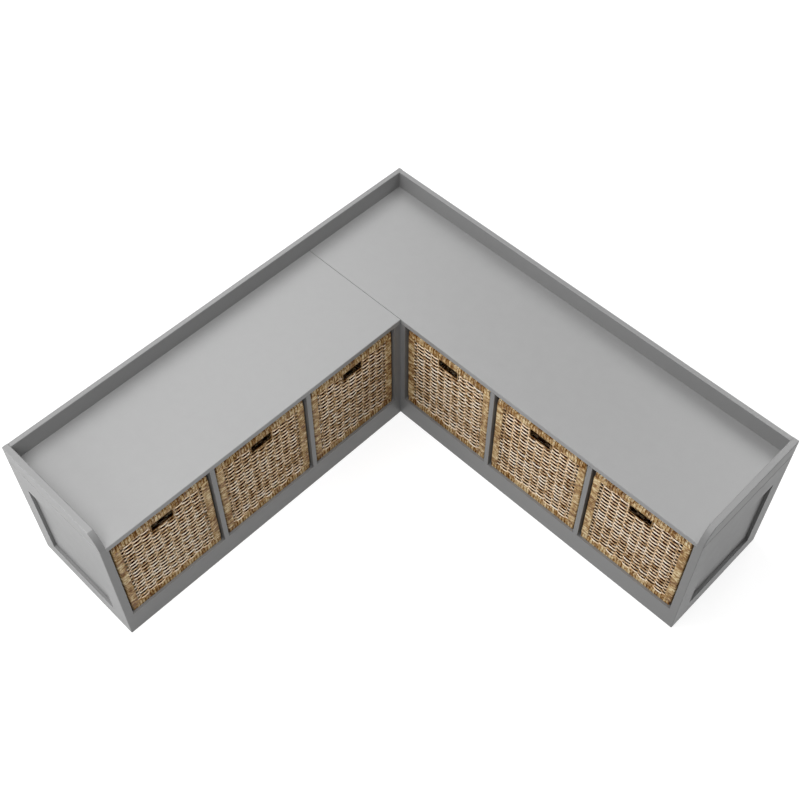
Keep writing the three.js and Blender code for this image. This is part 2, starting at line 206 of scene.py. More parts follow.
def noise(tree, place, scale, detail, rough=0.5, **settings):
    """A noise pattern, most of which lies round a half."""
    inputs = {"Vector": place, "Scale": scale, "Detail": detail, "Roughness": rough}
    return add(tree, "ShaderNodeTexNoise", inputs, **settings).outputs["Fac"]


def ranged(tree, value, source, result, **settings):
    """A value carried from one range to another, and held within it."""
    inputs = {"Value": value, "From Min": source[0], "From Max": source[1]}
    inputs |= {"To Min": result[0], "To Max": result[1]}
    return add(tree, "ShaderNodeMapRange", inputs, **settings).outputs["Result"]


def spread_round(tree, pattern, middle, spread):
    """A value that a pattern shifts from its middle, by up to the spread either way."""
    return ranged(tree, pattern, (0.0, 1.0), (middle - spread, middle + spread))


def bump(tree, height, strength, distance):
    """The normal of a surface that a pattern raises, by up to a distance."""
    inputs = {"Height": height, "Strength": strength, "Distance": distance}
    return add(tree, "ShaderNodeBump", inputs).outputs["Normal"]


def mixed(tree, factor, first, second, blend="MIX"):
    """Two colours mixed or multiplied, by a factor."""
    inputs = {0: factor, 6: first, 7: second}
    return add(tree, "ShaderNodeMix", inputs, data_type="RGBA", blend_type=blend).outputs[2]


def finished(made, tree, inputs):
    """A material that is given its shader with these inputs."""
    shader = add(tree, "ShaderNodeBsdfPrincipled", inputs)
    add(tree, "ShaderNodeOutputMaterial", {"Surface": shader.outputs["BSDF"]})
    return made


def rgba(value):
    """Four numbers for a colour socket, from a linear colour."""
    return (*value, 1)


def shaded(value, factor):
    """A linear colour made lighter or darker by a factor."""
    return rgba([min(c * factor, 1) for c in value])


# How far the lacquer's tone and roughness stray from patch to patch.
TONE_SPREAD, GLOSS_SPREAD = 0.04, 0.06


# Satin lacquer sprayed on board: an even grey with a soft sheen, faint ripples of the spray that
# only show in a highlight, and patches of a hundredth or two where the coat is thicker.
def painted(name, value, settings):
    made, tree = blank(name)
    place = add(tree, "ShaderNodeTexCoord").outputs["Object"]
    patches = noise(tree, place, 1 / settings.mottle, detail=3.0, rough=0.6)
    ripples = noise(tree, place, 1 / settings.peel, detail=2.0)
    darker, lighter = shaded(value, 1 - TONE_SPREAD), shaded(value, 1 + TONE_SPREAD)
    inputs = {
        "Base Color": mixed(tree, patches, darker, lighter),
        "Roughness": spread_round(tree, patches, settings.roughness, GLOSS_SPREAD),
        "Normal": bump(tree, ripples, strength=0.25, distance=0.05 * MM),
        "IOR": 1.5,
    }
    return finished(made, tree, inputs)


# Marks on a leaf: how long they are along the strand, how many lie across it, and how far they
# shift the tone, as a share of the ramp.
STREAK_LENGTH, STREAKS_ACROSS, STREAK_CONTRAST = 100 * MM / 7, 1.7, 1.8
FIBRE_LENGTH, FIBRES_ACROSS, FIBRE_CONTRAST = 6.25 * MM, 9.0, 0.9


# Reliefs between which the painted shade fades out, and those between which a strand comes to
# shine: the deep parts in painted shade get no sheen.
PAINTED_SHADE_FADES, STRAND_SHINES = (0.5, 0.74), (0.7, 0.95)


# Dried seagrass, twisted and woven: straw-coloured strands, each of its own tone, with fine
# fibres along them and a dull leaf surface. Painted shade: the lower a point's relief, the more
# its colour turns through a warm brown to the dark shade colour, and the less sheen it has,
# where one strand passes under another.
def seagrass(name, colours, painted_crevice_shade, spread):
    made, tree = blank(name)
    strand = add(tree, "ShaderNodeUVMap", uv_map="strand").outputs["UV"]
    parts = add(tree, "ShaderNodeSeparateXYZ", {"Vector": strand})
    number = add(tree, "ShaderNodeMath", {0: parts.outputs["Y"]}, operation="FLOOR")
    own = add(tree, "ShaderNodeTexWhiteNoise", {"W": number.outputs["Value"]}, noise_dimensions="1D")
    marks = []
    for long, across, detail in (
        (STREAK_LENGTH, STREAKS_ACROSS, 2.0),
        (FIBRE_LENGTH, FIBRES_ACROSS, 3.0),
    ):
        stretched = add(
            tree, "ShaderNodeMapping", {"Vector": strand, "Scale": (1 / long, across, 1.0)}
        )
        marks.append(noise(tree, stretched.outputs["Vector"], 1.0, detail, noise_dimensions="2D"))
    streaks, fibres = marks
    # Each pattern shifts the tone by its contrast times its distance from a half
    tone = 0.5 - (spread + STREAK_CONTRAST + FIBRE_CONTRAST) / 2
    for pattern, contrast in (
        (own.outputs["Value"], spread),
        (streaks, STREAK_CONTRAST),
        (fibres, FIBRE_CONTRAST),
    ):
        tone = add(
            tree, "ShaderNodeMath", {0: pattern, 1: contrast, 2: tone}, operation="MULTIPLY_ADD"
        ).outputs["Value"]
    ramp = add(tree, "ShaderNodeValToRGB", {"Fac": tone})
    stops = ramp.color_ramp.elements
    stops[0].position, stops[0].color = 0.1, rgba(colours.deep)
    stops[1].position, stops[1].color = 0.95, rgba(colours.pale)
    stops.new(0.5).color = rgba(colours.mid)
    # Painted shade from the relief: darker and warmer, and without sheen, where the weave lies deep
    height = add(tree, "ShaderNodeAttribute", attribute_name="relief").outputs["Fac"]
    shade = ranged(tree, height, PAINTED_SHADE_FADES, (0.0, 1.0), interpolation_type="SMOOTHSTEP")
    depth = add(tree, "ShaderNodeValToRGB", {"Fac": shade})
    shades = depth.color_ramp.elements
    shades[0].color, shades[1].color = rgba(painted_crevice_shade), rgba(WHITE)
    shades.new(0.35).color = rgba(linear("#B08C62"))
    inputs = {
        "Base Color": mixed(tree, 1.0, ramp.outputs["Color"], depth.outputs["Color"], "MULTIPLY"),
        "Roughness": 0.5,
        "IOR": 1.46,
        "Specular IOR Level": ranged(tree, height, STRAND_SHINES, (0.0, 0.6)),
        "Normal": bump(tree, fibres, strength=0.5, distance=0.3 * MM),
    }
    return finished(made, tree, inputs)


# Width of the lines that the tool leaves on steel, and how far they shift its roughness.
TOOL_LINE, STEEL_SPREAD = MM / 1.2, 0.08


# Steel, drawn to wire and lacquered, or turned and zinc plated: a grey metal whose fine lines
# from the tool break the highlight.
def steel(name, value, roughness, metallic):
    made, tree = blank(name)
    place = add(tree, "ShaderNodeTexCoord").outputs["Object"]
    lines = noise(tree, place, 1 / TOOL_LINE, detail=2.0)
    inputs = {
        "Base Color": rgba(value),
        "Metallic": metallic,
        "Roughness": spread_round(tree, lines, roughness, STEEL_SPREAD),
        "Normal": bump(tree, lines, strength=0.3, distance=0.04 * MM),
    }
    return finished(made, tree, inputs)


def dress(obj, material):
    """Gives an object one material, in every slot that it has."""
    if not obj.data.materials:
        obj.data.materials.append(material)
    for i in range(len(obj.data.materials)):
        obj.data.materials[i] = material


# Surfaces


def quads(count, rows, columns, closed_rows):
    """Corners of the faces of `count` grids of rows by columns points; columns run round a tube.

    Corner numbers are (grid * rows + row) * columns + column, with the next column, and the next
    row of closed rows, taken round the end. The second and third table hold the row and the
    column before that turn.
    """
    last_row = rows if closed_rows else rows - 1
    grid, row, column = np.meshgrid(
        np.arange(count), np.arange(last_row), np.arange(columns), indexing="ij"
    )
    steps = np.array([(0, 0), (1, 0), (1, 1), (0, 1)])
    at_row = row.reshape(-1, 1) + steps[:, 0]
    at_column = column.reshape(-1, 1) + steps[:, 1]
    corners = (grid.reshape(-1, 1) * rows + at_row % rows) * columns + at_column % columns
    return corners, at_row, at_column


def end_caps(count, rows, columns):
    """Four-cornered faces that close both ends of open tubes of an even number of columns.

    Each joins corner 0 of the end with its corners 2k + 1, 2k + 2 and 2k + 3.
    """
    first = np.arange(columns // 2 - 1) * 2
    fan = np.stack([np.zeros_like(first), first + 1, first + 2, first + 3], 1)
    start = np.arange(count)[:, None, None] * rows * columns
    near = (start + fan[None]).reshape(-1, 4)
    far = (start + (rows - 1) * columns + fan[None, :, ::-1]).reshape(-1, 4)
    return np.concatenate([near, far])


def volume(points, faces):
    """Signed volume inside four-cornered faces: a sixth of the sum of a . (b x c) over their halves."""
    a, b, c, d = (points[faces[:, i]] for i in range(4))
    return ((np.cross(b, c) * a).sum() + (np.cross(c, d) * a).sum()) / 6


def placed(points, unit, bay):
    """Points of a basket, drawn round the middle of its base with the handle towards -Y, in its bay.

    The short unit's baskets turn a quarter, so x, y become -y, x. All move to the CAD border.
    """
    lo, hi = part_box(f"basket_{unit}_{bay}_border")
    turned = points
    if unit == "short":
        turned = np.stack([-points[..., 1], points[..., 0], points[..., 2]], -1)
    return turned + np.array([(lo.x + hi.x) / 2, (lo.y + hi.y) / 2, lo.z])


def outline_lengths(line):
    """Distance round a closed outline to each point, and back to the first."""
    steps = np.linalg.norm(np.roll(line, -1, axis=0) - line, axis=1)
    return np.concatenate([[0.0], np.cumsum(steps)])


def surface(name, unit, bay, points, relief, along, across, closed_rows):
    """One mesh of a basket's tubes: points are grid by row by column, and columns run round a tube.

    `along` is the distance along a strand and `across` its number plus the part of the way over
    it. Both are one longer than the grid wherever it closes, so the pattern runs on over the seam.
    """
    count, rows, columns = points.shape[:3]
    faces, at_row, at_column = quads(count, rows, columns, closed_rows)
    grid = faces[:, 0] // (rows * columns)
    u = along[grid[:, None], at_row, at_column]
    v = across[grid[:, None], at_row, at_column]
    if not closed_rows:
        caps = end_caps(count, rows, columns)
        faces = np.concatenate([faces, caps])
        u = np.concatenate([u, np.zeros(caps.shape)])
        v = np.concatenate([v, np.zeros(caps.shape)])
    flat = placed(points, unit, bay).reshape(-1, 3)
    if volume(flat, faces) < 0:
        faces, u, v = faces[:, ::-1], u[:, ::-1], v[:, ::-1]
    mesh = bpy.data.meshes.new(name)
    mesh.vertices.add(len(flat))
    mesh.vertices.foreach_set("co", flat.astype(np.float32).ravel())
    mesh.loops.add(faces.size)
    mesh.loops.foreach_set("vertex_index", faces.astype(np.int32).ravel())
    mesh.polygons.add(len(faces))
    mesh.polygons.foreach_set("loop_start", np.arange(0, faces.size, 4, dtype=np.int32))
    mesh.update(calc_edges=True)
    mesh.polygons.foreach_set("use_smooth", np.ones(len(faces), bool))
    layer = mesh.uv_layers.new(name="strand")
    layer.uv.foreach_set("vector", np.stack([u, v], -1).astype(np.float32).ravel())
    heights = mesh.attributes.new("relief", "FLOAT", "POINT")
    heights.data.foreach_set("value", relief.astype(np.float32).ravel())
    made = bpy.data.objects.new(name, mesh)
    bpy.context.scene.collection.objects.link(made)
    return made


class Ring:
    """Samples round a rounded rectangle, from the front left corner to the right and on.

    Each side has as many as `parts` says for it, moved on by `shift` of a part, and each corner
    has `bend`. x and y run from -1 to 1 along the sides and rest at the corners, where the angle
    of the outward normal makes a quarter turn. `phase` counts the sides' stakes; a stake stands
    where it is half past a whole number.
    """

    def __init__(self, parts, stakes, bend, shift=0.0):
        corners = [(-1, -1), (1, -1), (1, 1), (-1, 1), (-1, -1)]
        x, y, angle, phase = [], [], [], []
        for side in range(4):
            (x0, y0), (x1, y1) = corners[side], corners[side + 1]
            part = (np.arange(parts[side]) + shift) / parts[side]
            turn = np.arange(bend) / max(bend, 1)
            x += [x0 + (x1 - x0) * part, np.full(bend, float(x1))]
            y += [y0 + (y1 - y0) * part, np.full(bend, float(y1))]
            angle += [np.full(parts[side], side - 1.0), side - 1 + turn]
            before = sum(stakes[:side])
            phase += [before + stakes[side] * part, np.full(bend, float(before + stakes[side]))]
        self.x, self.y = np.concatenate(x), np.concatenate(y)
        self.angle = np.concatenate(angle) * np.pi / 2
        self.phase = np.concatenate(phase)
        self.normal = np.stack([np.cos(self.angle), np.sin(self.angle)], -1)

    def at(self, inset, corner):
        """Places at a depth behind the face: x (half width - inset - r) + r cos(angle), y likewise.

        The corner's radius r is corner - inset, but 1 mm or more. An inset may be an array whose
        last axis runs along the ring.
        """
        radius = np.maximum(corner - inset, MM)
        px = self.x * (HALF[0] - inset - radius) + radius * self.normal[:, 0]
        py = self.y * (HALF[1] - inset - radius) + radius * self.normal[:, 1]
        return np.stack([px, py], -1)

    def travelled(self, inset, corner):
        """Distance from the first sample to each one and back to the first, along the ring."""
        return outline_lengths(self.at(inset, corner))


def smooth_step(t):
    """0 below 0, 1 above 1, and 3 t^2 - 2 t^3 between."""
    t = np.clip(t, 0, 1)
    return t * t * (3 - 2 * t)


def section_angles(count):
    """Angles of the corners of a section, from half a turn on."""
    return np.pi + np.arange(count) * 2 * np.pi / count


# A normal faces the front or the back when the size of its y is over this.
FACING = 0.5

# Width over which a border comes to cover the wall, and where beside it, and over what width,
# the strands lie flatter.
COVER = 8 * MM
FLATTENED_PLACE, FLATTENED_WIDTH = 7 * MM, 6 * MM

# The drawn handle slot reaches this far below the slot's own height. Its stakes end, and the rows
# that go all round stop, this far below its edge.
SLOT_DROP, STAKE_GAP, ROW_GAP = 3 * MM, 3 * MM, 7 * MM


def slot_foot(binding):
    """Height of the lower edge of the drawn handle slot."""
    return TALL - binding.width - binding.slot_height - SLOT_DROP


def at_slot(ring, inset, margin, binding):
    """Which samples at a depth behind the face lie at the handle slot, or within a margin of it."""
    near = np.abs(ring.at(inset, binding.corner)[:, 0]) < binding.slot_width / 2 + margin
    return near & (ring.normal[:, 1] < -FACING)


def covered_by_border(inside):
    """How far a border covers the wall, a smooth step from 0 to 1 round its edge.

    `inside` is the distance from that edge into the open field, negative under the border.
    """
    return smooth_step((COVER / 2 - inside) / COVER)


def beside_border(ring, weave, binding):
    """How far an upright border covers each sample of the wall, and how far strands lie flatter there.

    The second is exp(-((d - place) / width) ** 2), with d the distance from the border's edge.
    """
    flat = ring.at(weave.wall_inset, weave.hidden_inset + MM)
    front = np.abs(ring.normal[:, 1]) > FACING
    room = np.where(front, HALF[0] - np.abs(flat[:, 0]), HALF[1] - np.abs(flat[:, 1]))
    inside = room - binding.width
    flatter = np.exp(-(((inside - FLATTENED_PLACE) / FLATTENED_WIDTH) ** 2))
    return covered_by_border(inside), flatter


# Corners of a strand's section, and of a stake's or the base's.
STRAND_CORNERS, STAKE_CORNERS = 8, 6

# The lower this exponent, the more suddenly a strand turns from one side of the wall to the other.
BOW_POWER = 0.4

# How far a strand strays between two stakes: share of its swing, height, share of its own height.
STRAY_SWING, STRAY_LIFT, STRAY_HEIGHT = 0.1, 0.5 * MM, 0.1

# Shares of its height that a strand loses beside a border, and on the outer side of the wall.
FLATTER_BESIDE, FLATTER_OUTSIDE = 0.55, 0.18

# Corners of a section face inwards below this cosine. Round this angle above level, an outer
# face of a strand that passes inside gets painted light, up to this much more relief, as if
# light fell on it from above.
INWARDS = -0.1
PAINTED_LIGHT_ANGLE, PAINTED_LIGHT_RELIEF = 0.6, 0.25


def strand_tubes(ring, heights, signs, jitter, weave, binding):
    """Rows of strands round the wall, and their relief.

    A row's middle is the wall's middle plus swing * b outwards, where b is |sin(pi * phase)| to
    the bow power, with the sine's sign turned from row to row, times 1 - covered / 2. Its section
    is an ellipse, a little different at each stake and taller on the inner side of the wall. The
    relief is 1/2 plus half the depth over the greatest depth, so it falls from 1 outside to 0
    inside, and with the sign turned on faces that look inwards, plus painted light on the upper
    outer faces of strands that pass inside. Low relief is painted shade: the deeper a point lies,
    and the more a border covers the wall, the darker the material colours it.
    """
    beat = np.sin(np.pi * ring.phase)
    number = np.floor(ring.phase).astype(int) % jitter.shape[1]
    loose = jitter[:, number] * (beat**2)[None, :, None]
    covered, flatter = beside_border(ring, weave, binding)
    inset = weave.wall_inset + (weave.hidden_inset - weave.wall_inset) * covered
    bow = signs[:, None] * np.sign(beat) * np.abs(beat) ** BOW_POWER * (1 - 0.5 * covered)
    out = weave.swing * bow * (1 + STRAY_SWING * loose[..., 0])
    up = heights[:, None] + STRAY_LIFT * loose[..., 1]
    share = 1 + STRAY_HEIGHT * loose[..., 2] - FLATTER_BESIDE * flatter - FLATTER_OUTSIDE * bow
    tall = weave.strand_height * share
    angles = section_angles(STRAND_CORNERS)
    away = out[..., None] + weave.strand_depth * np.cos(angles)
    lift = up[..., None] + tall[..., None] * np.sin(angles)
    middle = ring.at(inset, weave.hidden_inset + MM)
    flat = middle[None, :, None, :] + away[..., None] * ring.normal[None, :, None, :]
    points = np.concatenate([flat, lift[..., None]], -1)
    reach = weave.swing + weave.strand_depth
    facing = np.where(np.cos(angles) < INWARDS, -1.0, 1.0)
    # Painted light: the upper outer faces of inner strands are coloured lighter
    painted_light = np.maximum(np.cos(angles - PAINTED_LIGHT_ANGLE), 0) * (facing > 0) * (1 - bow[..., None]) / 2
    # Painted shade: the further in a point lies, the lower its relief and the darker its colour
    depth = away + weave.wall_inset - inset[:, None]
    return points, 0.5 + 0.5 * facing * depth / reach + PAINTED_LIGHT_RELIEF * painted_light


# The part of the way round a strand ends here, under 1, so that its number never rounds up.
SEAM = 0.999

# Strands take their tones from numbers that start anywhere below this.
TONES = 1000


def strand_uv(distance, count, section, first):
    """Distance along each strand, and its number plus the part of the way round it."""
    shape = (count, len(distance), section + 1)
    along = np.broadcast_to(distance[None, :, None], shape)
    number = first + np.arange(count)[:, None, None]
    across = np.broadcast_to(number + np.arange(section + 1) / section * SEAM, shape)
    return along, across


class BENCH_OT_weave_baskets(Operator):
    """Weaves the walls, stakes and bases of the six baskets"""

    bl_idname = "corner_bench.weave_baskets"
    bl_label = "Weave baskets"

    SEED = 100
    # Samples of a row from stake to stake on the front, sides and back, and at each corner
    SAMPLES_PER_STAKE = (6, 4, 4, 4)
    CORNER_SAMPLES = 3
    # How far the first and the last row run in under the borders
    TUCK = 3 * MM
    # A stake's thickness is its width over this; it and the bars lie deep, at this relief, which
    #     # paints them in the dark shade colour
    FLATNESS = 4.6
    STAKE_SHADE_RELIEF = 0.35
    STAKE_LEVELS = 5
    # Samples of the base's strands from bar to bar, and half of one's width as a share of its pitch
    SAMPLES_PER_BAR = 4
    BASE_SHARE = 0.49

    def execute(self, context):
        weave, binding = context.scene.corner_bench.weave, context.scene.corner_bench.binding
        grass = seagrass("woven_seagrass", weave, weave.painted_crevice_shade, spread=0.6)
        for seed, (unit, bay) in enumerate(BASKETS):
            rng = np.random.default_rng(self.SEED + seed)
            name = f"basket_{unit}_{bay}"
            shapes = {
                "rows": self.rows(weave, binding, rng, cut=False),
                "rows_beside_slot": self.rows(weave, binding, rng, cut=True),
                "stakes": self.stakes(weave, binding),
                "base": self.base(weave, binding, rng),
            }
            made = [surface(f"{name}_{part}", unit, bay, *shape) for part, shape in shapes.items()]
            for piece in made:
                dress(piece, grass)
                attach(piece, name)
            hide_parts(f"{name}_weave")
        return {"FINISHED"}

    def rows(self, weave, binding, rng, cut):
        """Rows round all four walls: the whole ones below the handle slot, or those that it cuts.

        Their heights are spread evenly, a row pitch or nearly that apart, from border to border.
        """
        stakes = (weave.front_stakes, weave.side_stakes) * 2
        parts = [number * samples for number, samples in zip(stakes, self.SAMPLES_PER_STAKE)]
        ring = Ring(parts, stakes, self.CORNER_SAMPLES)
        low, high = binding.width - self.TUCK, TALL - binding.width + self.TUCK
        count = round((high - low) / weave.row_pitch)
        heights = low + (np.arange(count) + 0.5) * (high - low) / count
        chosen = np.flatnonzero((heights > slot_foot(binding) - ROW_GAP) == cut)
        signs = np.where(chosen % 2, 1.0, -1.0)
        jitter = rng.uniform(-1, 1, (len(chosen), sum(stakes), 3))
        points, relief = strand_tubes(ring, heights[chosen], signs, jitter, weave, binding)
        distance = ring.travelled(weave.wall_inset, weave.hidden_inset)
        if cut:
            slot = at_slot(ring, 0.0, MM, binding)
            keep = np.roll(np.arange(len(slot)), -1 - np.flatnonzero(slot)[-1])
            keep = keep[~slot[keep]]
            points, relief = points[:, keep], relief[:, keep]
            # The short step from the last sample of the ring to its first counts as nothing
            distance = (distance[keep] - distance[keep[0]]) % distance[-2]
        along, across = strand_uv(distance, len(chosen), STRAND_CORNERS, rng.integers(TONES))
        return points, relief, along, across, not cut

    def stakes(self, weave, binding):
        """The upright stakes that the rows pass, each a flat bar in the middle of the wall.

        A corner of the section is that middle plus thickness * cos(angle) outwards plus stake
        width * sin(angle) along the wall.
        """
        stakes = (weave.front_stakes, weave.side_stakes) * 2
        ring = Ring(stakes, stakes, 0, shift=0.5)
        middle = ring.at(weave.wall_inset, binding.corner)
        side = np.stack([-ring.normal[:, 1], ring.normal[:, 0]], -1)
        angles = section_angles(STAKE_CORNERS)
        thick = weave.stake_width / self.FLATNESS
        section = middle[:, None] + (
            thick * np.cos(angles)[None, :, None] * ring.normal[:, None]
            + weave.stake_width * np.sin(angles)[None, :, None] * side[:, None]
        )
        short = at_slot(ring, weave.wall_inset, 0.0, binding)
        foot = binding.width / 2
        top = np.where(short, slot_foot(binding) - STAKE_GAP, TALL - binding.width / 2)
        levels = foot + (top[:, None] - foot) * np.linspace(0, 1, self.STAKE_LEVELS)
        points = np.empty((len(top), self.STAKE_LEVELS, STAKE_CORNERS, 3))
        points[..., :2] = section[:, None]
        points[..., 2] = levels[:, :, None]
        # Painted shade: the stakes take the dark shade colour all over
        relief = np.full(points.shape[:3], self.STAKE_SHADE_RELIEF)
        distance = np.linspace(0, TALL, self.STAKE_LEVELS)
        along, across = strand_uv(distance, len(top), STAKE_CORNERS, 0)
        return points, relief, along, across, False

    def base(self, weave, binding, rng):
        """The base: strands over and under bars that run from front to back.

        A strand's middle lies above the board by the wall's inset plus swing * sin(pi * phase) *
        (1 - covered / 2), with the sign turned from one strand to the next.
        """
        reach = HALF - binding.width / 2
        count = int(2 * reach[1] / weave.base_pitch)
        place = (np.arange(count) - (count - 1) / 2) * weave.base_pitch
        bars = weave.front_stakes - 1
        phase = np.linspace(0, bars, bars * self.SAMPLES_PER_BAR + 1)
        x = (phase / bars * 2 - 1) * reach[0]
        covered = covered_by_border(HALF[0] - np.abs(x) - binding.width)
        level = weave.wall_inset + (weave.hidden_inset - weave.wall_inset) * covered
        signs = np.where(np.arange(count) % 2, 1.0, -1.0)[:, None]
        middle = signs * weave.swing * np.sin(np.pi * phase) * (1 - 0.5 * covered)
        angles = section_angles(STAKE_CORNERS)
        high = middle[..., None] + weave.strand_depth * np.cos(angles)
        strand = np.empty((count, len(x), STAKE_CORNERS, 3))
        strand[..., 0] = x[None, :, None]
        strand[..., 1] = place[:, None, None] + weave.base_pitch * self.BASE_SHARE * np.sin(angles)
        strand[..., 2] = level[None, :, None] + high
        # Painted shade: the nearer a point lies to the base's middle, the darker its colour
        strand_relief = 0.5 + 0.5 * np.abs(high) / (weave.swing + weave.strand_depth)
        bar_x = ((np.arange(bars) + 0.5) / bars * 2 - 1) * reach[0]
        bar = np.empty((bars, len(x), STAKE_CORNERS, 3))
        bar[..., 0] = bar_x[:, None, None] + weave.stake_width * np.sin(angles)
        bar[..., 1] = np.linspace(-reach[1], reach[1], len(x))[None, :, None]
        bar[..., 2] = weave.wall_inset + weave.stake_width / self.FLATNESS * np.cos(angles)
        # Painted shade: the bars take the dark shade colour all over
        bar_relief = np.full(bar.shape[:3], self.STAKE_SHADE_RELIEF)
        points = np.concatenate([strand, bar])
        relief = np.concatenate([strand_relief, bar_relief])
        along, across = strand_uv(x - x[0], len(points), STAKE_CORNERS, rng.integers(TONES))
        return points, relief, along, across, False


def straight(start, end, step):
    """Points between two ends, without them, that cut the way into equal parts of a step at most."""
    parts = max(int(np.ceil(np.linalg.norm(end - start) / step)), 1)
    return start + (end - start) * (np.arange(1, parts) / parts)[:, None]


def rounded(corners, radius, bend, step):
    """A closed outline with its corners rounded, and the outward normal at each point.

    Each corner becomes an arc of `bend` parts that touches both sides: corner + (start - corner)
    * (1 - sin t) + (end - corner) * (1 - cos t), for t up to a quarter turn. Each side between two
    arcs is cut into parts no longer than `step`. Corners run anticlockwise.
    """
    corners = np.array(corners, float)
    turn = np.linspace(0, np.pi / 2, bend + 1)[:, None]
    arcs = []
    for i, (here, r) in enumerate(zip(corners, radius)):
        before, after = corners[i - 1], corners[(i + 1) % len(corners)]
        start = here - (here - before) / np.linalg.norm(here - before) * r
        end = here + (after - here) / np.linalg.norm(after - here) * r
        arcs.append(here + (start - here) * (1 - np.sin(turn)) + (end - here) * (1 - np.cos(turn)))
    points = []
    for arc, following in zip(arcs, arcs[1:] + arcs[:1]):
        points += [arc, straight(arc[-1], following[0], step)]
    line = np.concatenate(points)
    ahead, behind = np.roll(line, -1, axis=0), np.roll(line, 1, axis=0)
    tangent = (ahead - behind) / np.linalg.norm(ahead - behind, axis=1)[:, None]
    return line, np.stack([tangent[:, 1], -tangent[:, 0]], -1)


# The lower this exponent, the fuller a turn of the binding; the lowest turn is this share of full.
TURN_POWER, LOWEST_TURN = 0.6, 0.3

# Relief in a groove of the binding, where 1 is the crown of a full turn; the material paints the
# lower relief of grooves and low turns as shade.
GROOVE_SHADE_RELIEF = 0.57


def turns(samples, per_turn, rng):
    """Height of a wrapped surface along its length, from 0 in a groove to 1 on a turn, uneven by hand.

    |sin(pi * turns)| to the turn power, scaled from turn to turn by the lowest turn to 1.
    """
    crown = np.abs(np.sin(np.pi * np.arange(samples) / per_turn)) ** TURN_POWER
    number = np.arange(samples) // per_turn
    return crown * rng.uniform(LOWEST_TURN, 1, samples // per_turn + 1)[number]


def turn_relief(height):
    """The relief of a binding at a height between groove and crown, which paints shade in the grooves."""
    return GROOVE_SHADE_RELIEF + (1 - GROOVE_SHADE_RELIEF) * height


def turn_numbers(samples, per_turn, rng):
    """Which turn each sample lies on, counted from anywhere, plus the part of the way over it."""
    return np.arange(samples) / per_turn + rng.integers(TONES)


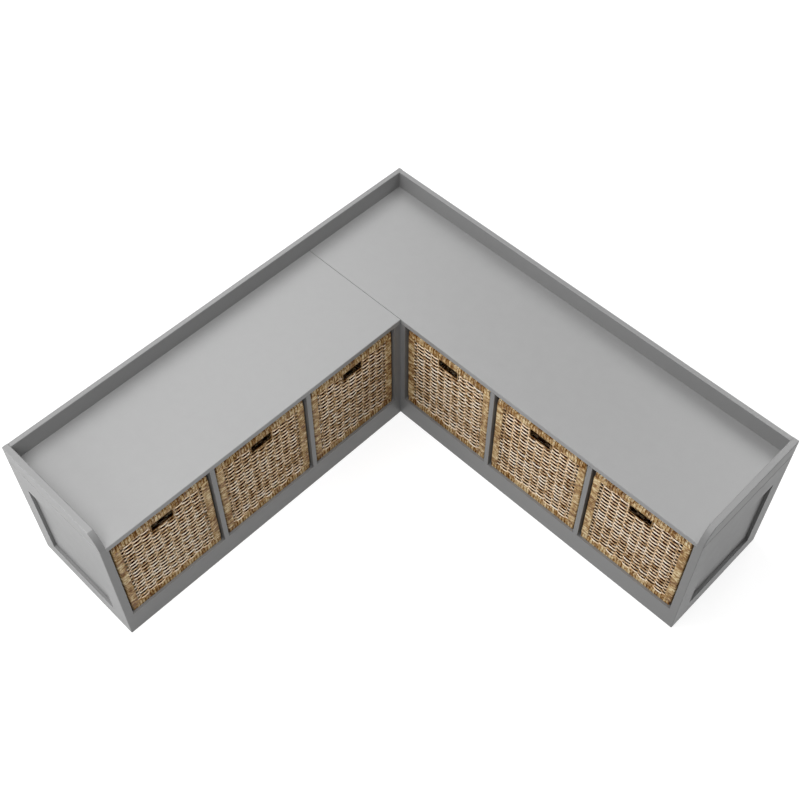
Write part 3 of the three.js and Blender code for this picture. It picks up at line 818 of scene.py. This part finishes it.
class BENCH_OT_bind_baskets(Operator):
    """Wraps the edges and the handle slot of the six baskets"""

    bl_idname = "corner_bench.bind_baskets"
    bl_label = "Bind baskets"

    SEED = 200
    # Samples over one turn
    RIM_SAMPLES, UPRIGHT_SAMPLES, SLOT_SAMPLES = 5, 4, 3
    # How far the upright borders run into the rims, the share of the groove that their turns rise
    #     # by, and the least height that their relief takes, which keeps their painted groove shade
    #     lighter
    OVERLAP, UPRIGHT_RISE, UPRIGHT_LEAST = 4 * MM, 0.7, 0.3
    # Radius of the rounded edges: nearly sharp, soft, and the top rim's
    SHARP, SOFT, FULL = MM, 2 * MM, 4.4 * MM
    # Parts of such an edge, and the longest step from one to the next
    RIM_ARC, UPRIGHT_ARC = 2, 3
    TOP_STEP, BOTTOM_STEP, UPRIGHT_STEP = 5 * MM, 7 * MM, 6 * MM
    # The slot's edge: half its width and depth, and its middle behind the face
    EDGE_WIDE, EDGE_DEEP, EDGE_BEHIND = 2.0 * MM, 2.6 * MM, 3.2 * MM
    # The radius of its corners, the width of a turn, and how far it runs up into the rim
    EDGE_BEND, EDGE_PITCH, EDGE_ROOT = 4 * MM, 4 * MM, 3 * MM
    # The share that a groove draws in, the leaf's length round it, and its section's corners
    EDGE_GROOVE, EDGE_GIRTH, EDGE_CORNERS = 0.14, 20 * MM, 8
    # Its relief as a share of the turn's: at its side, and how much more or less out and in; the
    #     # inner side is painted dark as shade inside the slot
    EDGE_SIDE, EDGE_FALL = 0.5, 0.9

    def execute(self, context):
        weave, binding = context.scene.corner_bench.weave, context.scene.corner_bench.binding
        leaf = seagrass("seagrass_binding", binding, weave.painted_crevice_shade, spread=0.5)
        for seed, (unit, bay) in enumerate(BASKETS):
            rng = np.random.default_rng(self.SEED + seed)
            name = f"basket_{unit}_{bay}"
            shapes = {
                "top_binding": self.rim(binding, rng, top=True),
                "bottom_binding": self.rim(binding, rng, top=False),
                "upright_binding": self.uprights(binding, rng),
                "slot_binding": self.slot_edge(binding, rng),
            }
            made = [surface(f"{name}_{part}", unit, bay, *shape) for part, shape in shapes.items()]
            for piece in made:
                dress(piece, leaf)
                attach(piece, name)
            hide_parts(f"{name}_border")
        return {"FINISHED"}

    def rim(self, binding, rng, top):
        """The top or bottom border: a section carried round the basket.

        The section lies in depth behind the face and height: a rounded block over the top edge, or
        an angle round the bottom edge. On each turn its upper and lower faces stand out, and its
        outer and inner faces draw in, by groove * turn height. Nothing goes below the board.
        """
        wide, thick, skin = binding.width, binding.thickness, binding.groove
        if top:
            low, high = TALL - wide, TALL - skin
            corners = [(skin, low), (thick, low), (thick, high), (skin, high)]
            radius = [self.SHARP, self.SHARP, self.FULL, self.FULL]
            line, normal = rounded(corners, radius, self.RIM_ARC, self.TOP_STEP)
        else:
            corners = [(skin, 0), (wide, 0), (wide, thick), (thick, thick), (thick, wide), (skin, wide)]
            radius = [self.SHARP] * 3 + [self.SOFT] + [self.SHARP] * 2
            line, normal = rounded(corners, radius, self.RIM_ARC, self.BOTTOM_STEP)
        per_turn = self.RIM_SAMPLES
        sides = 2 * (HALF - binding.corner)
        parts = [round(side / binding.wrap_pitch) * per_turn for side in (sides[0], sides[1]) * 2]
        ring = Ring(parts, (1, 1, 1, 1), per_turn)
        height = turns(len(ring.x), per_turn, rng)
        inset = line[None, :, 0] - normal[None, :, 0] * skin * height[:, None]
        level = np.maximum(line[None, :, 1] + normal[None, :, 1] * skin * height[:, None], 0)
        points = np.empty((1, len(ring.x), len(line), 3))
        points[0, ..., :2] = ring.at(inset.T, binding.corner).transpose(1, 0, 2)
        points[0, ..., 2] = level
        relief = np.broadcast_to(turn_relief(height)[None, :, None], points.shape[:3])
        shape = (1, len(ring.x) + 1, len(line) + 1)
        along = np.broadcast_to(outline_lengths(line), shape)
        across = np.broadcast_to(turn_numbers(len(ring.x) + 1, per_turn, rng)[:, None], shape)
        return points, relief, along, across, True

    def uprights(self, binding, rng):
        """The four upright borders: an angle-shaped section, measured from the corner, carried up.

        It grows along its own normal by a share of groove * turn height.
        """
        wide, thick, skin = -binding.width, -binding.thickness, -binding.groove
        corners = [(wide, thick), (thick, thick), (thick, wide), (skin, wide), (skin, skin), (wide, skin)]
        outer = binding.corner - binding.groove
        radius = [self.SHARP, self.SOFT, self.SHARP, self.SHARP, outer, self.SHARP]
        line, normal = rounded(corners, radius, self.UPRIGHT_ARC, self.UPRIGHT_STEP)
        per_turn = self.UPRIGHT_SAMPLES
        low, high = binding.width - self.OVERLAP, TALL - binding.width + self.OVERLAP
        samples = round((high - low) / binding.band_pitch) * per_turn + 1
        grids, reliefs, numbers = [], [], []
        for sx, sy in ((1, -1), (1, 1), (-1, 1), (-1, -1)):
            height = turns(samples, per_turn, rng)
            grown = line + normal * (self.UPRIGHT_RISE * binding.groove * height)[:, None, None]
            grid = np.empty((samples, len(line), 3))
            grid[..., 0] = sx * (HALF[0] + grown[..., 0])
            grid[..., 1] = sy * (HALF[1] + grown[..., 1])
            grid[..., 2] = np.linspace(low, high, samples)[:, None]
            if sx * sy < 0:
                # A mirrored section runs down instead, so that its faces point outwards too
                grid, height = grid[::-1], height[::-1]
            grids.append(grid)
            lifted = self.UPRIGHT_LEAST + (1 - self.UPRIGHT_LEAST) * height
            reliefs.append(np.broadcast_to(turn_relief(lifted)[:, None], grid.shape[:2]))
            numbers.append(turn_numbers(samples, per_turn, rng))
        points, relief = np.stack(grids), np.stack(reliefs)
        along = np.broadcast_to(outline_lengths(line), (4, samples, len(line) + 1))
        across = np.broadcast_to(np.stack(numbers)[:, :, None], along.shape)
        return points, relief, along, across, False

    def slot_edge(self, binding, rng):
        """The wrapped edge of the handle slot: an oval section carried down, across and up again.

        A corner of the section is the path plus width * sin(angle) to the side and depth *
        cos(angle) through the wall, both less by the groove's share of 1 - turn height.
        """
        per_turn, bend = self.SLOT_SAMPLES, self.EDGE_BEND
        reach, foot = binding.slot_width / 2 + self.EDGE_WIDE, slot_foot(binding) - self.EDGE_WIDE
        root = TALL - binding.width + self.EDGE_ROOT
        down = round((root - foot - bend) / self.EDGE_PITCH) * per_turn + 1
        over = round(2 * (reach - bend) / self.EDGE_PITCH) * per_turn + 1
        angle = np.linspace(0, np.pi / 2, per_turn * 2 + 1)[1:-1]
        left = np.stack([np.full(down, -reach), np.linspace(root, foot + bend, down)], 1)
        arc = np.stack([bend - reach - bend * np.cos(angle), foot + bend - bend * np.sin(angle)], 1)
        under = np.stack([np.linspace(bend - reach, reach - bend, over), np.full(over, foot)], 1)
        path = np.concatenate([left, arc, under, (arc * [-1, 1])[::-1], (left * [-1, 1])[::-1]])
        ahead = np.gradient(path, axis=0)
        ahead /= np.linalg.norm(ahead, axis=1)[:, None]
        side = np.stack([ahead[:, 1], -ahead[:, 0]], -1)
        height = turns(len(path), per_turn, rng)
        angles = section_angles(self.EDGE_CORNERS)
        grow = (1 + self.EDGE_GROOVE * (height - 1))[:, None]
        spread = self.EDGE_WIDE * np.sin(angles)[None] * grow
        points = np.empty((1, len(path), self.EDGE_CORNERS, 3))
        points[0, ..., 0] = path[:, None, 0] + side[:, None, 0] * spread
        points[0, ..., 1] = -HALF[1] + self.EDGE_BEHIND + self.EDGE_DEEP * np.cos(angles)[None] * grow
        points[0, ..., 2] = path[:, None, 1] + side[:, None, 1] * spread
        # Painted shade: the edge's inner side is coloured dark, as the inside of the slot
        outwards = np.clip(self.EDGE_SIDE - self.EDGE_FALL * np.cos(angles), 0, 1)
        relief = (turn_relief(height)[:, None] * outwards)[None]
        shape = (1, len(path), self.EDGE_CORNERS + 1)
        round_it = np.arange(self.EDGE_CORNERS + 1) / self.EDGE_CORNERS * self.EDGE_GIRTH
        along = np.broadcast_to(round_it, shape)
        across = np.broadcast_to(turn_numbers(len(path), per_turn, rng)[:, None], shape)
        return points, relief, along, across, False


class BENCH_OT_paint_boards(Operator):
    """Gives the boards of both units their satin lacquer"""

    bl_idname = "corner_bench.paint_boards"
    bl_label = "Paint boards"

    def execute(self, context):
        settings = context.scene.corner_bench.paint
        seat = painted("satin_grey_lacquer_seat", settings.seat_colour, settings)
        rest = painted("satin_grey_lacquer", settings.frame_colour, settings)
        for name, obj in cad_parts.items():
            if name.startswith("basket_") or name.startswith("connecting_"):
                continue
            dress(obj, seat if name.endswith("seat_board") else rest)
        return {"FINISHED"}


class BENCH_OT_finish_steel(Operator):
    """Gives the baskets' wire frames and the connecting bolts their steel"""

    bl_idname = "corner_bench.finish_steel"
    bl_label = "Finish steel"

    def execute(self, context):
        wire = steel("lacquered_steel_wire", linear("#3E4042"), 0.4, 0.8)
        zinc = steel("zinc_plated_steel", linear("#C2C5C8"), 0.34, 1.0)
        for name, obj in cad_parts.items():
            if name.endswith("wire_frame"):
                dress(obj, wire)
            if name.startswith("connecting_"):
                dress(obj, zinc)
        return {"FINISHED"}


class BENCH_OT_set_stage(Operator):
    """Sets the camera, the floor, the lamps and the sky"""

    bl_idname = "corner_bench.set_stage"
    bl_label = "Set stage"

    # Place and axes of the camera, from a pinhole camera fitted to the photograph's corners
    CAMERA = (1.23641, -1.25664, 3.10417)
    RIGHT = (0.712192, 0.701985, -0.000561)
    UP = (-0.565817, 0.574516, 0.591424)
    BACK = (0.415493, -0.42089, 0.80636)
    SENSOR = 36.0

    # The floor's half size. What the camera sees of it is this diffuse colour and a glow, whose
    # strength rises over these distances from the middle: the far floor is white, and the near
    # one keeps the shadow
    FLOOR_REACH = 30.0
    FLOOR_SEEN = "#959595"
    GLOW = (0.82, 1.0)
    GLOW_PLACES = (1.3, 4.0)

    def execute(self, context):
        settings = context.scene.corner_bench.stage
        self.camera(context.scene, settings)
        self.floor(context.scene, settings)
        self.sky(context.scene, settings)
        for name, place, target, size, watts in (
            ("overhead", (0.0, 0.0, 3.4), (-0.1, 0.1, 0.4), 3.0, settings.overhead),
            ("key", (-1.3, -0.9, 3.0), (-0.2, 0.1, 0.4), 2.0, settings.key),
            ("low_left", (-1.1, -2.3, 0.9), (-0.5, -0.7, 0.3), 0.9, settings.low),
            ("front", (0.45, -1.6, 1.9), (-0.1, 0.0, 0.2), 1.0, settings.front),
            ("back_left", (-2.2, 1.2, 2.6), (-0.3, 0.1, 0.4), 1.6, settings.back_left),
            ("back_right", (0.6, 2.4, 2.6), (0.0, 0.1, 0.4), 1.6, settings.back_right),
        ):
            self.lamp(context.scene, f"soft_box_{name}", place, target, size, watts)
        context.scene.view_settings.view_transform = "Standard"
        return {"FINISHED"}

    def camera(self, scene, settings):
        """The photograph's view, from its own perspective."""
        data = bpy.data.cameras.new("camera")
        data.lens, data.sensor_width = settings.lens, self.SENSOR
        made = bpy.data.objects.new("camera", data)
        axes = Matrix((self.RIGHT, self.UP, self.BACK)).transposed()
        made.matrix_world = Matrix.Translation(self.CAMERA) @ axes.to_4x4()
        scene.collection.objects.link(made)
        scene.camera = made

    def lamp(self, scene, name, place, target, size, watts):
        """A square soft box that looks at a point."""
        data = bpy.data.lights.new(name, "AREA")
        data.size, data.energy = size, watts
        made = bpy.data.objects.new(name, data)
        made.location = place
        made.rotation_euler = (Vector(target) - Vector(place)).to_track_quat("-Z", "Y").to_euler()
        scene.collection.objects.link(made)

    def seen(self, tree, kinds):
        """1 for a ray of one of the kinds, else 0."""
        rays = add(tree, "ShaderNodeLightPath")
        either = rays.outputs[kinds[0]]
        for kind in kinds[1:]:
            either = add(
                tree, "ShaderNodeMath", {0: either, 1: rays.outputs[kind]}, operation="MAXIMUM"
            ).outputs["Value"]
        return either

    def floor(self, scene, settings):
        """A pale floor; the camera sees it as white, less the object's shadow."""
        far = self.FLOOR_REACH
        mesh = bpy.data.meshes.new("floor")
        corners = [(-far, -far, 0), (far, -far, 0), (far, far, 0), (-far, far, 0)]
        mesh.from_pydata(corners, [], [(0, 1, 2, 3)])
        made = bpy.data.objects.new("floor", mesh)
        scene.collection.objects.link(made)
        material, tree = blank("pale_floor")
        seen = self.seen(tree, ("Is Camera Ray", "Is Glossy Ray"))
        dim = add(tree, "ShaderNodeBsdfDiffuse", {"Color": rgba(settings.floor)})
        pale = add(tree, "ShaderNodeBsdfDiffuse", {"Color": rgba(linear(self.FLOOR_SEEN))})
        place = add(tree, "ShaderNodeTexCoord").outputs["Object"]
        away = add(tree, "ShaderNodeVectorMath", {0: place}, operation="LENGTH")
        fade = ranged(tree, away.outputs["Value"], self.GLOW_PLACES, self.GLOW)
        glow = add(tree, "ShaderNodeEmission", {"Color": rgba(WHITE), "Strength": fade})
        white = add(
            tree,
            "ShaderNodeAddShader",
            {0: pale.outputs["BSDF"], 1: glow.outputs["Emission"]},
        )
        both = add(
            tree,
            "ShaderNodeMixShader",
            {0: seen, 1: dim.outputs["BSDF"], 2: white.outputs["Shader"]},
        )
        add(tree, "ShaderNodeOutputMaterial", {"Surface": both.outputs["Shader"]})
        dress(made, material)

    def sky(self, scene, settings):
        """Even light from all round, which the camera sees as white."""
        world = bpy.data.worlds.new("studio")
        world.use_nodes = True
        tree = world.node_tree
        tree.nodes.clear()
        seen = self.seen(tree, ("Is Camera Ray", "Is Glossy Ray", "Is Transmission Ray"))
        light = add(tree, "ShaderNodeBackground", {"Color": rgba(WHITE), "Strength": settings.sky})
        white = add(tree, "ShaderNodeBackground", {"Color": rgba(WHITE), "Strength": 1.0})
        both = add(
            tree,
            "ShaderNodeMixShader",
            {0: seen, 1: light.outputs["Background"], 2: white.outputs["Background"]},
        )
        add(tree, "ShaderNodeOutputWorld", {"Surface": both.outputs["Shader"]})
        scene.world = world


class BENCH_PT_panel(Panel):
    """Sizes, colours and steps of the bench"""

    bl_idname = "BENCH_PT_panel"
    bl_label = "Corner bench"
    bl_space_type = "VIEW_3D"
    bl_region_type = "UI"
    bl_category = "Bench"

    def draw(self, context):
        settings = context.scene.corner_bench
        for step, part in STEPS:
            box = self.layout.box()
            box.operator(step)
            if part:
                group = getattr(settings, part)
                for name in type(group).__annotations__:
                    box.prop(group, name)


STEPS = (
    ("corner_bench.set_stage", "stage"),
    ("corner_bench.paint_boards", "paint"),
    ("corner_bench.finish_steel", None),
    ("corner_bench.weave_baskets", "weave"),
    ("corner_bench.bind_baskets", "binding"),
)

CLASSES = (
    PaintSettings,
    WeaveSettings,
    BindingSettings,
    StageSettings,
    BenchSettings,
    BENCH_OT_set_stage,
    BENCH_OT_paint_boards,
    BENCH_OT_finish_steel,
    BENCH_OT_weave_baskets,
    BENCH_OT_bind_baskets,
    BENCH_PT_panel,
)


def register():
    for made in CLASSES:
        bpy.utils.register_class(made)
    bpy.types.Scene.corner_bench = PointerProperty(type=BenchSettings)


def unregister():
    del bpy.types.Scene.corner_bench
    for made in reversed(CLASSES):
        bpy.utils.unregister_class(made)


def main():
    register()
    for step, _ in STEPS:
        group, name = step.split(".")
        getattr(getattr(bpy.ops, group), name)()


if __name__ == "__main__":
    main()
